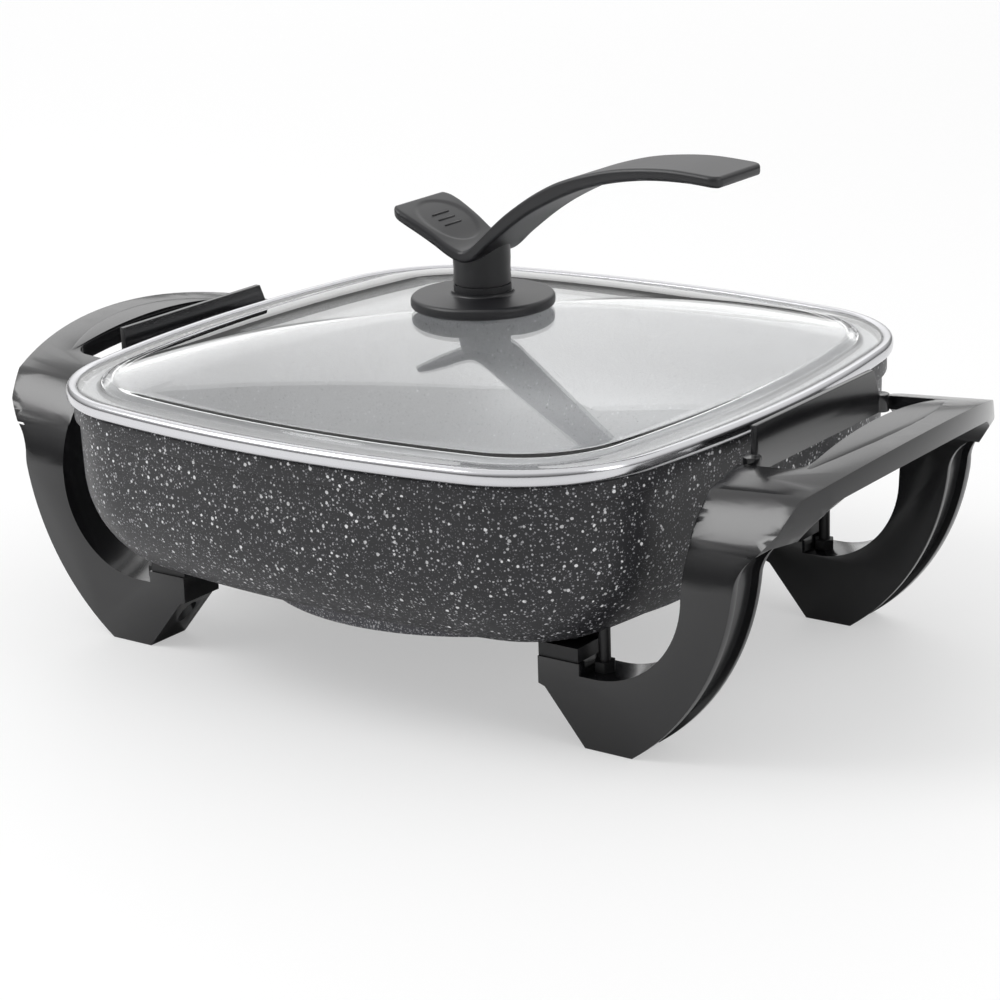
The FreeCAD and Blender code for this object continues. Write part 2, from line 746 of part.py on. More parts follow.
def bowedSlab(inset, low, high):
    """A flat slab with the lid's outline moved in by an inset."""
    outline = bowedWire(lidHalf - inset, size("lidCorner") - inset, low)
    return Part.Face(outline).extrude(Vector(0, 0, high - low))


def lidBand():
    low, wall = size("bandLow"), size("bandWall")
    high = low + size("bandHeight")
    outer = bowedSlab(0.0, low, high)
    outer = outer.makeFillet(size("bandRound"), [edge for edge in outer.Edges if edge.BoundBox.ZMin > high - 0.01])
    return outer.cut(bowedSlab(wall, low + wall, high - wall)).cut(bowedSlab(size("bandLip"), low - 1, high + 1))


def domeBlock(inset):
    """A low pressed step with a square dome over it, moved in by a wall."""
    half = lidHalf - size("glassStepIn") - inset
    corner = size("lidCorner") - size("glassStepIn") - inset
    flange = size("bandLow") + size("bandHeight") - size("bandWall") - inset
    lean, step, top = size("glassStepLean"), flange + size("glassStepRise"), size("glassTop") - inset
    sections = [bowedWire(half, corner, size("bandLow") - 1), bowedWire(half, corner, flange)]
    for share in (1.0, 0.9, 0.8, 0.68, 0.54, 0.38, 0.22, size("glassCrown")):
        level = step + (top - step) * (1 - share ** size("glassPower"))
        sections.append(bowedWire(half - lean, corner - lean, level, share))
    return flatLoft(sections)


def lidGlass():
    thick = size("glassThick")
    high = size("bandLow") + size("bandHeight") - size("bandWall")
    slab = bowedSlab(size("bandWall") + size("glassGap"), high - thick, high)
    shell = slab.fuse(domeBlock(0.0)).cut(domeBlock(thick))
    under = Part.makeBox(400, 400, high - thick, Vector(-200, -200, 0))
    hole = Part.makeCylinder(size("glassHole"), 200)
    return shell.cut(under).cut(hole)


keep("lid_rim_band", lidBand())
keep("lid_glass", lidGlass())


# The knob: a disc and a post on the glass, and a V of a short thumb wing and a long arm that curves out

discLow = "Sizes.glassTop + Sizes.sealThick"
discHigh = discLow + " + Sizes.discThick"
boreRadius = "Sizes.lidScrewRadius + Sizes.screwFit"
seal = turned("knob_seal", [(boreRadius, "Sizes.glassTop"), ("Sizes.sealRadius", "Sizes.glassTop"),
                            ("Sizes.sealRadius", discLow), (boreRadius, discLow)])
disc = turned("knob_disc", [(boreRadius, discLow), ("Sizes.discRadius - Sizes.discRound", discLow),
                            ("Sizes.discRadius", discLow + " + Sizes.discRound"),
                            ("Sizes.discRadius", discHigh + " - Sizes.discRound"),
                            ("Sizes.discRadius - Sizes.discRound", discHigh), (boreRadius, discHigh)])
seamHigh = discHigh + " + Sizes.collarHeight"
waist = "Sizes.stemRadius - Sizes.stemSeam"
post = turned("KnobPostBlank", [(boreRadius, discHigh), ("Sizes.stemRadius", discHigh),
                                ("Sizes.stemRadius", seamHigh), (waist, seamHigh),
                                (waist, seamHigh + " + Sizes.stemSeam"),
                                ("Sizes.stemRadius", seamHigh + " + Sizes.stemSeam"),
                                ("Sizes.stemRadius", "Sizes.armTop"), (boreRadius, "Sizes.armTop")])
washerHigh = "Sizes.glassTop - Sizes.glassThick - Sizes.washerGap"
washer = turned("knob_washer", [(boreRadius, washerHigh + " - Sizes.washerThick"),
                                ("Sizes.washerRadius", washerHigh + " - Sizes.washerThick"),
                                ("Sizes.washerRadius", washerHigh), (boreRadius, washerHigh)])
screwTop = discHigh + " + Sizes.collarHeight + Sizes.lidScrewReach"
headHigh = washerHigh + " - Sizes.washerThick"
knobScrew = turned("knob_screw", [(None, headHigh + " - Sizes.lidScrewDepth"),
                                  ("Sizes.lidScrewHead", headHigh + " - Sizes.lidScrewDepth"),
                                  ("Sizes.lidScrewHead", headHigh), ("Sizes.lidScrewRadius", headHigh),
                                  ("Sizes.lidScrewRadius", screwTop), (None, screwTop)])
doc.recompute()


def armSpots(*shares):
    """Spots of the knob's arm from shares of its length and of its rise, two numbers for each spot."""
    length = size("armEnd") - size("creaseX")
    rise = size("armTop") - size("creaseTop")
    starts = (size("creaseX"), size("creaseTop")) * (len(shares) // 2)
    spans = (length, rise) * (len(shares) // 2)
    return tuple(start + share * span for start, share, span in zip(starts, shares, spans))


def knobUnderside():
    """The V's lower line from the wing's end to the arm's end, straight and then in three arcs."""
    crease, low, thick = size("creaseX"), size("creaseTop"), size("armThick")
    return [
        (size("wingEnd"), size("wingTop") - thick),
        (crease - 1.5, low - thick - 0.2),
        (crease + 4.5, low - thick + 0.6),
        armSpots(0.092, 0.058),
        armSpots(0.191, 0.285, 0.331, 0.535),
        armSpots(0.506, 0.762, 0.681, 0.876),
        armSpots(0.841, 0.912) + (size("armEnd"), size("armTop") - thick),
    ]


def knobPlan():
    """The handle seen from above: a waist at the crease, rounded ends, wider at the tip."""
    half, endHalf, corner = size("knobHalfWidth"), size("knobEndWidth"), size("knobEndRound")
    wing, tip = size("wingEnd"), size("armEnd")
    bend = corner * (1 - math.sqrt(0.5))
    near = half + size("wingWiden")
    return [
        (wing + corner, -near), (size("creaseX"), -half), (tip - corner, -endHalf),
        (tip - bend, -endHalf + bend, tip, -endHalf + corner), (tip, endHalf - corner),
        (tip - bend, endHalf - bend, tip - corner, endHalf), (size("creaseX"), half), (wing + corner, near),
        (wing + bend, near - bend, wing, near - corner), (wing, -near + corner),
        (wing + bend, -near + bend, wing + corner, -near),
    ]


def knobHandle():
    side = knobUnderside() + [
        (size("armEnd"), size("armTop")),
        armSpots(0.833, 1.034, 0.673, 1.002),
        armSpots(0.49, 0.894, 0.315, 0.69),
        armSpots(0.163, 0.412, 0.052, 0.091),
        (size("creaseX"), size("creaseTop")),
        (size("wingEnd") * 0.45, size("creaseTop") + 8.0, size("wingEnd"), size("wingTop")),
    ]
    return prism(side, "Y", -30, 30).common(closedPrism(knobPlan()))


def closedPrism(points):
    """A tall block from a plan whose last arc ends where it began."""
    edges, here = [], points[0]
    for step in points[1:]:
        end = (step[2], step[3]) if len(step) == 4 else step
        if len(step) == 4:
            middle = Vector(step[0], step[1], 140)
            edges.append(Part.Arc(Vector(here[0], here[1], 140), middle, Vector(end[0], end[1], 140)).toShape())
        else:
            edges.append(Part.LineSegment(Vector(here[0], here[1], 140), Vector(end[0], end[1], 140)).toShape())
        here = end
    return Part.Face(Part.Wire(edges)).extrude(Vector(0, 0, 100))


def knobPost():
    above = prism(knobUnderside() + [(size("armEnd"), 260), (size("wingEnd"), 260)], "Y", -40, 40)
    return post.Shape.cut(above).removeSplitter()


keep("knob_handle", knobHandle())
keep("knob_post", knobPost())
doc.recompute()

nodes = ["pan_body", "heating_element", "right_handle_frame", "left_handle_frame", "right_finger_guard",
         "left_finger_guard", "front_right_leg_spacer", "front_left_leg_spacer", "back_right_leg_spacer",
         "back_left_leg_spacer", "leg_screws", "leg_studs", "stud_nuts", "inlet_shroud", "shroud_screws",
         "inlet_insulator", "terminal_pin_front", "terminal_pin_back", "probe_tube", "lid_rim_band",
         "lid_glass", "knob_seal", "knob_disc", "knob_post", "knob_handle", "knob_washer", "knob_screw"]
for item in doc.Objects:
    if "Invalid" in item.State or "Error" in item.State:
        raise RuntimeError("%s did not recompute: %s" % (item.Label, item.State))
for name in nodes:
    item = doc.getObject(name)
    shape = item.Shape
    if item.Label != name or shape.isNull() or not shape.isValid() or shape.Volume <= 0:
        raise RuntimeError("no sound shape for " + name)
    shape.exportStep("parts/%s.step" % name)
    print(name, len(shape.Solids), round(shape.Volume), [round(v, 1) for v in (
        shape.BoundBox.XMin, shape.BoundBox.XMax, shape.BoundBox.YMin, shape.BoundBox.YMax,
        shape.BoundBox.ZMin, shape.BoundBox.ZMax)])
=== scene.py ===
import bpy
import bmesh
import math
from mathutils import Matrix, Vector


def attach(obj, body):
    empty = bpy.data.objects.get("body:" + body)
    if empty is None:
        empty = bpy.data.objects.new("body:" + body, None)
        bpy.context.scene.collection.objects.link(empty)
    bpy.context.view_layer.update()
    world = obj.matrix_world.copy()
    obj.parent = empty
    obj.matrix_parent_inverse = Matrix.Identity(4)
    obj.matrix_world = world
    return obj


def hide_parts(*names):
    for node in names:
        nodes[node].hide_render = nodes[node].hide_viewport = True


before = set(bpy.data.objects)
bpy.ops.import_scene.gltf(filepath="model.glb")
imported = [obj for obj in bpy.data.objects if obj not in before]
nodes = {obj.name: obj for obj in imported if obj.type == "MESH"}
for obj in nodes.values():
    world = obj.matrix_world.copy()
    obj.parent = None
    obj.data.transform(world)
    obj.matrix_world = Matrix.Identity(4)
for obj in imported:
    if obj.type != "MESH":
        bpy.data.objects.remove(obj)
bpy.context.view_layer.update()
scene = bpy.context.scene
mm = 0.001
print("frame loaded with", len(nodes), "nodes")


# colours are written as sRGB hex and turned to linear here
def linear(code):
    parts = [int(code[i:i + 2], 16) / 255 for i in (1, 3, 5)]
    return tuple(p / 12.92 if p <= 0.04045 else ((p + 0.055) / 1.055) ** 2.4 for p in parts) + (1.0,)


# adds one node, sets what is given by name and joins or fills its inputs
def addNode(tree, kind, inputs=None, **settings):
    node = tree.nodes.new(kind)
    for key, value in settings.items():
        setattr(node, key, value)
    for socket, value in (inputs or {}).items():
        if isinstance(value, bpy.types.NodeSocket):
            tree.links.new(value, node.inputs[socket])
        else:
            node.inputs[socket].default_value = value
    return node


def newMaterial(name, inputs):
    material = bpy.data.materials.new(name)
    material.use_nodes = True
    tree = material.node_tree
    tree.nodes.clear()
    shader = addNode(tree, "ShaderNodeBsdfPrincipled", inputs)
    output = addNode(tree, "ShaderNodeOutputMaterial", {"Surface": shader.outputs[0]})
    coords = addNode(tree, "ShaderNodeTexCoord")
    return material, tree, shader, output, coords.outputs["Object"]


# low, fine bumps of a moulded or cast skin, with their real spacing in millimetres
def addGrain(tree, shader, coords, spacing, height, strength):
    noise = addNode(tree, "ShaderNodeTexNoise", {
        "Vector": coords, "Scale": 1 / (spacing * mm), "Detail": 2.0})
    bump = addNode(tree, "ShaderNodeBump", {
        "Height": noise.outputs["Fac"], "Strength": strength, "Distance": height * mm})
    tree.links.new(bump.outputs[0], shader.inputs["Normal"])
    return bump


# sprayed stone-effect coat: how far a fleck's outline wanders and how often, how soft it is,
# the faintest fleck, the grain of the base and the height of a fleck; lengths in mm
coat = {"wander": 0.7, "wanderPerMm": 0.9, "edgeIn": -0.02, "edgeOut": 0.03, "faintest": 0.45,
        "grain": 1.1, "grainHigh": 0.02, "grainStrength": 0.5, "fleckHigh": 0.05, "fleckStrength": 0.35}


# stone-effect non-stick: a sprayed dark base with spattered pale flecks of several sizes, satin to the eye
def stoneCoat(name, base, flecks, rough):
    material, tree, shader, output, coords = newMaterial(name, {"Roughness": rough, "IOR": 1.45})
    wobble = addNode(tree, "ShaderNodeTexNoise", {
        "Vector": coords, "Scale": coat["wanderPerMm"] / mm, "Detail": 1.0})
    scaled = addNode(tree, "ShaderNodeVectorMath", {0: wobble.outputs["Color"], "Scale": coat["wander"] * mm},
                     operation="SCALE")
    shifted = addNode(tree, "ShaderNodeVectorMath", {0: coords, 1: scaled.outputs[0]}, operation="ADD")
    colour = None
    cover = None
    for spacing, low, high, part, tint in flecks:
        cells = addNode(tree, "ShaderNodeTexVoronoi", {
            "Vector": shifted.outputs[0], "Scale": 1 / (spacing * mm), "Randomness": 1.0})
        pick = addNode(tree, "ShaderNodeSeparateColor", {"Color": cells.outputs["Color"]})
        reach = addNode(tree, "ShaderNodeMapRange", {
            "Value": pick.outputs[0], "From Min": 1 - part, "From Max": 1.0,
            "To Min": low / spacing, "To Max": high / spacing})
        there = addNode(tree, "ShaderNodeMath", {0: pick.outputs[0], 1: 1 - part}, operation="GREATER_THAN")
        edge = addNode(tree, "ShaderNodeMath", {0: reach.outputs[0], 1: cells.outputs["Distance"]},
                       operation="SUBTRACT")
        soft = addNode(tree, "ShaderNodeMapRange", {
            "Value": edge.outputs[0], "From Min": coat["edgeIn"], "From Max": coat["edgeOut"]})
        fleck = addNode(tree, "ShaderNodeMath", {0: soft.outputs[0], 1: there.outputs[0]},
                        operation="MULTIPLY")
        dim = addNode(tree, "ShaderNodeMapRange", {
            "Value": pick.outputs[1], "To Min": coat["faintest"], "To Max": 1.0})
        amount = addNode(tree, "ShaderNodeMath", {0: fleck.outputs[0], 1: dim.outputs[0]},
                         operation="MULTIPLY")
        mix = addNode(tree, "ShaderNodeMix", {"Factor": amount.outputs[0], 7: linear(tint)}, data_type="RGBA")
        if colour is None:
            mix.inputs[6].default_value = linear(base)
        else:
            tree.links.new(colour, mix.inputs[6])
        colour = mix.outputs[2]
        if cover is None:
            cover = amount.outputs[0]
        else:
            cover = addNode(tree, "ShaderNodeMath", {0: cover, 1: amount.outputs[0]},
                            operation="MAXIMUM").outputs[0]
    tree.links.new(colour, shader.inputs["Base Color"])
    bump = addGrain(tree, shader, coords, coat["grain"], coat["grainHigh"], coat["grainStrength"])
    raised = addNode(tree, "ShaderNodeBump", {
        "Height": cover, "Strength": coat["fleckStrength"], "Distance": coat["fleckHigh"] * mm,
        "Normal": bump.outputs[0]})
    tree.links.new(raised.outputs[0], shader.inputs["Normal"])
    return material


# each kind of fleck: spacing, least and greatest radius in mm, the part of the cells that has one, colour
# the cells fill space, so a surface meets only some of their flecks and the spacing is close
outerFlecks = [(0.95, 0.18, 0.34, 0.75, "#6c6c70"), (1.5, 0.3, 0.5, 0.6, "#b4b4b8"),
               (2.7, 0.45, 0.8, 0.45, "#f2f2f4")]
innerFlecks = [(1.3, 0.2, 0.36, 0.5, "#66666a"), (2.2, 0.3, 0.5, 0.35, "#d0d0d2")]
bossFlecks = [(0.9, 0.24, 0.4, 0.9, "#a2a2a6"), (1.3, 0.3, 0.5, 0.8, "#d2d2d5")]
graniteOutside = stoneCoat("sprayedGraniteCoating", "#222225", outerFlecks, 0.42)
graniteInside = stoneCoat("sprayedGreyNonStick", "#a6a6a8", innerFlecks, 0.36)
graniteBoss = stoneCoat("sprayedGraniteOnBoss", "#55555a", bossFlecks, 0.48)

# thermoset moulding with a polished tool: near black, mirror-like gloss with a very slight orange peel
glossMoulding, tree, shader, output, coords = newMaterial("polishedMouldedPhenolic", {
    "Base Color": linear("#121214"), "Roughness": 0.22, "IOR": 1.52, "Coat Weight": 0.3,
    "Coat Roughness": 0.12})
addGrain(tree, shader, coords, 6.0, 0.02, 0.35)

# the same resin from a spark-eroded tool: satin charcoal that spreads the light
satinMoulding, tree, shader, output, coords = newMaterial("satinMouldedPhenolic", {
    "Base Color": linear("#1c1c1f"), "Roughness": 0.4, "IOR": 1.55})
addGrain(tree, shader, coords, 0.6, 0.012, 0.6)

# glass-filled nylon of the hidden mouldings: dull black
nylonMoulding, tree, shader, output, coords = newMaterial("glassFilledNylon", {
    "Base Color": linear("#161618"), "Roughness": 0.5, "IOR": 1.53})
addGrain(tree, shader, coords, 0.8, 0.015, 0.6)

# rolled and buffed 430 stainless strip: bright, with faint lines along the rolling
buffedStainless, tree, shader, output, coords = newMaterial("buffedRolledStainless", {
    "Base Color": linear("#cfcfd2"), "Metallic": 1.0, "Roughness": 0.2})
streak = addNode(tree, "ShaderNodeMapping", {"Vector": coords, "Scale": (60.0, 60.0, 2600.0)})
lines = addNode(tree, "ShaderNodeTexNoise", {"Vector": streak.outputs[0], "Scale": 1.0, "Detail": 3.0})
gloss = addNode(tree, "ShaderNodeMapRange", {"Value": lines.outputs["Fac"], "To Min": 0.12, "To Max": 0.26})
tree.links.new(gloss.outputs[0], shader.inputs["Roughness"])

# pressed and tempered soda-lime glass: clear and almost without colour, and light falls through it freely
pressedGlass, tree, shader, output, coords = newMaterial("temperedSodaLimeGlass", {
    "Base Color": linear("#fdfefe"), "Roughness": 0.015, "IOR": 1.5, "Transmission Weight": 1.0})
rays = addNode(tree, "ShaderNodeLightPath")
clear = addNode(tree, "ShaderNodeBsdfTransparent", {"Color": linear("#fbfcfc")})
pane = addNode(tree, "ShaderNodeMixShader", {0: rays.outputs["Is Shadow Ray"], 1: shader.outputs[0],
                                             2: clear.outputs[0]})
tree.links.new(pane.outputs[0], output.inputs["Surface"])

# zinc-plated steel: cool grey with a slightly cloudy shine
zincSteel, tree, shader, output, coords = newMaterial("zincPlatedSteel", {
    "Base Color": linear("#b9bbbd"), "Metallic": 1.0, "Roughness": 0.32})
addGrain(tree, shader, coords, 0.9, 0.01, 0.5)

# drawn heater sheath, oxidised by its own heat: dull warm grey
heaterSheath, tree, shader, output, coords = newMaterial("oxidisedHeaterSheath", {
    "Base Color": linear("#6f6b66"), "Metallic": 1.0, "Roughness": 0.48})
addGrain(tree, shader, coords, 0.7, 0.02, 0.6)

# pressed steatite: cream, dry and even
steatite, tree, shader, output, coords = newMaterial("pressedSteatite", {
    "Base Color": linear("#d9d2c3"), "Roughness": 0.6, "IOR": 1.6})
addGrain(tree, shader, coords, 0.5, 0.02, 0.6)

# nickel-plated terminal: bright and a little warm
nickelPlate, tree, shader, output, coords = newMaterial("nickelPlatedBrass", {
    "Base Color": linear("#cfc9bd"), "Metallic": 1.0, "Roughness": 0.18})
addGrain(tree, shader, coords, 1.2, 0.006, 0.4)

# moulded silicone: soft dark grey without gloss
silicone, tree, shader, output, coords = newMaterial("mouldedSilicone", {
    "Base Color": linear("#2d2d2f"), "Roughness": 0.62, "IOR": 1.42})
addGrain(tree, shader, coords, 0.6, 0.01, 0.5)
print("materials made")


def makeObject(name, points, faces, materials, marks=None, sharp=40.0):
    mesh = bpy.data.meshes.new(name)
    mesh.from_pydata([Vector(p) * mm for p in points], [], faces)
    for material in materials:
        mesh.materials.append(material)
    if marks:
        mesh.polygons.foreach_set("material_index", marks)
    body = bmesh.new()
    body.from_mesh(mesh)
    bmesh.ops.remove_doubles(body, verts=body.verts, dist=1e-6)
    bmesh.ops.recalc_face_normals(body, faces=body.faces)
    body.to_mesh(mesh)
    body.free()
    mesh.shade_smooth()
    mesh.set_sharp_from_angle(angle=math.radians(sharp))
    thing = bpy.data.objects.new(name, mesh)
    scene.collection.objects.link(thing)
    return thing


# joins rings of equal length with quads; a single point closes an end
def loftRings(rings):
    points, faces, starts = [], [], []
    for ring in rings:
        starts.append(len(points))
        points.extend(ring)
    for low, high, a, b in zip(rings, rings[1:], starts, starts[1:]):
        count = max(len(low), len(high))
        for k in range(count):
            n = (k + 1) % count
            if len(low) == 1:
                faces.append((a, b + k, b + n))
            elif len(high) == 1:
                faces.append((a + k, a + n, b))
            else:
                faces.append((a + k, a + n, b + n, b + k))
    return points, faces


# radius of the pan's and the lid's bowed sides, in mm
sideBow = 534.0


# a square with bowed sides and round corners, as a ring of points
def bowedRing(half, corner, z, sideSteps=20, cornerSteps=18, bow=sideBow):
    b = 2 * (bow - half)
    c = (half - bow) ** 2 - (bow - corner) ** 2
    centre = (-b + math.sqrt(b * b - 8 * c)) / 4
    turn = math.atan2(centre, centre - half + bow)
    ring = []
    for quarter in range(4):
        swing = quarter * math.pi / 2
        for k in range(sideSteps):
            angle = swing - turn + 2 * turn * k / sideSteps
            ring.append(((half - bow) * math.cos(swing) + bow * math.cos(angle),
                         (half - bow) * math.sin(swing) + bow * math.sin(angle), z))
        middle = (centre * (math.cos(swing) - math.sin(swing)), centre * (math.sin(swing) + math.cos(swing)))
        for k in range(cornerSteps):
            angle = swing + turn + (math.pi / 2 - 2 * turn) * k / cornerSteps
            ring.append((middle[0] + corner * math.cos(angle), middle[1] + corner * math.sin(angle), z))
    return ring


def turnedRings(profile, steps=96):
    rings = []
    for radius, z in profile:
        if radius == 0:
            rings.append([(0.0, 0.0, z)])
        else:
            turns = [2 * math.pi * k / steps for k in range(steps)]
            rings.append([(radius * math.cos(turn), radius * math.sin(turn), z) for turn in turns])
    return rings


# points of an arc from one angle to another, both in degrees
def arc(centre, radius, start, end, steps):
    return [(centre[0] + radius * math.cos(math.radians(start + (end - start) * k / steps)),
             centre[1] + radius * math.sin(math.radians(start + (end - start) * k / steps)))
            for k in range(steps + 1)]


# pan: drafted wall, wide bottom round, thin flange and the boss with its heater groove
pan = {"half": 146.0, "corner": 63.0, "rim": 114.6, "bottom": 40.0, "wall": 3.0, "draft": 1.4, "round": 45.0,
       "flange": 1.8, "flangeDepth": 7.6, "edge": 0.7, "bossRadius": 100.5, "bossLow": 30.0, "bossRound": 3.0,
       "bossOverlap": 1.0, "grooveReach": 78.0, "groove": 3.8, "grooveRise": 2.2, "roundSteps": 16,
       "wallSteps": 6, "edgeSteps": 4}


def panWall(inset, upwards):
    level = pan["bottom"] + pan["round"]
    slope = math.tan(math.radians(pan["draft"]))
    rings = []
    for x, z in arc((0, level), pan["round"] - inset, -90, 0, pan["roundSteps"]):
        side = pan["half"] - (pan["rim"] - level) * slope - inset - (pan["round"] - inset) + x
        rings.append((side, z))
    for k in range(1, pan["wallSteps"] + 1):
        z = level + (pan["rim"] - level) * k / pan["wallSteps"]
        rings.append((pan["half"] - (pan["rim"] - z) * slope - inset, z))
    return rings if upwards else rings[::-1]


def makePan():
    outer = [r for r in panWall(0.0, True) if r[1] < pan["rim"] - pan["flangeDepth"] - 0.5]
    inner = panWall(pan["wall"], False)
    reach, low, top = pan["half"] + pan["flange"], pan["rim"] - pan["flangeDepth"], pan["rim"]
    soft, steps = pan["edge"], pan["edgeSteps"]
    lip = [(pan["half"] - 0.15, low)]
    lip += arc((reach - soft, low + soft), soft, -90, 0, steps)
    lip += arc((reach - soft, top - soft), soft, 0, 90, steps)
    edge = arc((pan["half"] - pan["wall"] + soft, top - soft), soft, 90, 180, steps)
    spread = pan["corner"] - pan["half"]
    profile = outer + lip + edge + inner[1:]
    rings = [[(0.0, 0.0, pan["bottom"])]] + [bowedRing(side, side + spread, z) for side, z in profile]
    rings.append([(0.0, 0.0, pan["bottom"] + pan["wall"])])
    points, faces = loftRings(rings)
    count = len(rings[1])
    inside = count * (len(outer) + len(lip) + 2)
    marks = [1 if k >= inside else 0 for k in range(len(faces))]
    low, high = pan["bossLow"], pan["bottom"] + pan["bossOverlap"]
    dip = math.degrees(math.asin(pan["grooveRise"] / pan["groove"]))
    heart = (pan["grooveReach"], low + pan["grooveRise"])
    corner = (pan["bossRadius"] - pan["bossRound"], low + pan["bossRound"])
    turned = [(0, low)] + arc(heart, pan["groove"], 180 + dip, -dip, pan["roundSteps"])
    turned += arc(corner, pan["bossRound"], -90, 0, 6) + [(pan["bossRadius"], high), (0, high)]
    bossPoints, bossFaces = loftRings(turnedRings(turned))
    shift = len(points)
    faces += [tuple(k + shift for k in face) for face in bossFaces]
    marks += [2] * len(bossFaces)
    coats = [graniteOutside, graniteInside, graniteBoss]
    return makeObject("castPan", points + bossPoints, faces, coats, marks)


castPan = makePan()
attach(castPan, "pot")
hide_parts("pan_body")
print("pan made")

# lid glass: flat flange, a low pressed step that follows the rim, then a shallow square dome with a hole
glass = {"half": 148.9, "corner": 63.9, "flangeTop": 120.7, "thick": 4.0, "foot": 135.0, "footCorner": 50.0,
         "stepLean": 2.6, "stepRise": 2.8, "stepSteps": 8, "top": 141.8, "power": 2.2, "hole": 4.2,
         "soft": 1.7, "edge": 1.5, "lean": 0.6, "flangeRings": (8.0, 4.0, 2.6),
         "shares": (1.0, 0.985, 0.96, 0.93, 0.88, 0.82, 0.75, 0.67, 0.58, 0.49, 0.4, 0.31, 0.22, 0.14, 0.08)}


# one face of the glass from the rim to the hole; drop is how far it lies inside the top face
def glassFace(drop):
    flange, top = glass["flangeTop"] - drop, glass["top"] - drop
    foot, corner = glass["foot"] - drop * glass["lean"], glass["footCorner"] - drop * glass["lean"]
    rings = [bowedRing(foot + out, corner + out, flange) for out in glass["flangeRings"]]
    rise, lean, soft = glass["stepRise"], glass["stepLean"], glass["soft"]
    for k in range(1, glass["stepSteps"]):
        t = k / glass["stepSteps"]
        ease = t * t * (3 - 2 * t)
        out = soft - (lean + 2 * soft) * t
        rings.append(bowedRing(foot + out, corner + out, flange + rise * ease))
    half, corner = foot - lean - soft, corner - lean - soft
    for share in glass["shares"]:
        level = flange + rise + (top - flange - rise) * (1 - share ** glass["power"])
        rings.append([(x * share, y * share, level) for x, y, z in bowedRing(half, corner, 0)])
    hole = []
    for x, y, z in rings[-1]:
        away = math.hypot(x, y) / glass["hole"]
        hole.append((x / away, y / away, top))
    rings.append(hole)
    return rings


def makeGlass():
    upper, lower = glassFace(0.0), glassFace(glass["thick"])
    spread = glass["corner"] - glass["half"]
    low, high, out = glass["flangeTop"] - glass["thick"], glass["flangeTop"], glass["half"]
    soft = glass["edge"]
    section = arc((out - soft, low + soft), soft, -90, 0, 4) + arc((out - soft, high - soft), soft, 0, 90, 4)
    edge = [bowedRing(side, side + spread, z) for side, z in section]
    rings = lower[::-1] + edge + upper
    rings.append(rings[0])
    points, faces = loftRings(rings)
    return makeObject("pressedLidGlass", points, faces, [pressedGlass], sharp=60.0)


lidGlass = makeGlass()
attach(lidGlass, "lid")
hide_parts("lid_glass")
print("lid glass made")

# rolled rim: a rounded strip swept round the lid's outline by geometry nodes
rim = {"Width": 5.2, "Height": 6.6, "Round": 2.45, "half": 150.0, "corner": 65.0, "low": 114.9,
       "roundSteps": 6, "sideSteps": 32, "cornerSteps": 40}


def newTree(name, inputs):
    tree = bpy.data.node_groups.new(name, "GeometryNodeTree")
    tree.interface.new_socket("Geometry", in_out="INPUT", socket_type="NodeSocketGeometry")
    for label, kind in inputs:
        tree.interface.new_socket(label, in_out="INPUT", socket_type=kind)
    tree.interface.new_socket("Geometry", in_out="OUTPUT", socket_type="NodeSocketGeometry")
    start = tree.nodes.new("NodeGroupInput")
    return tree, start


def finishTree(tree, geometry):
    real = addNode(tree, "GeometryNodeRealizeInstances", {0: geometry})
    painted = addNode(tree, "GeometryNodeSetMaterial", {0: real.outputs[0]})
    tree.links.new(tree.nodes["Group Input"].outputs["Material"], painted.inputs["Material"])
    addNode(tree, "NodeGroupOutput", {0: painted.outputs[0]})


# sets the named inputs by identifier, takes the evaluated result as a plain mesh and drops the modifier
def growMesh(name, carrier, tree, values, sharp=40.0):
    modifier = carrier.modifiers.new("grow", "NODES")
    modifier.node_group = tree
    for item in tree.interface.items_tree:
        if item.in_out == "INPUT" and item.name in values:
            modifier[item.identifier] = values[item.name]
    scene.view_layers[0].update()
    grown = bpy.data.meshes.new_from_object(carrier.evaluated_get(bpy.context.evaluated_depsgraph_get()))
    carrier.modifiers.clear()
    bpy.data.objects.remove(carrier)
    grown.name = name
    body = bmesh.new()
    body.from_mesh(grown)
    bmesh.ops.remove_doubles(body, verts=body.verts, dist=1e-6)
    bmesh.ops.recalc_face_normals(body, faces=body.faces)
    body.to_mesh(grown)
    body.free()
    grown.shade_smooth()
    grown.set_sharp_from_angle(angle=math.radians(sharp))
    thing = bpy.data.objects.new(name, grown)
    scene.collection.objects.link(thing)
    return thing


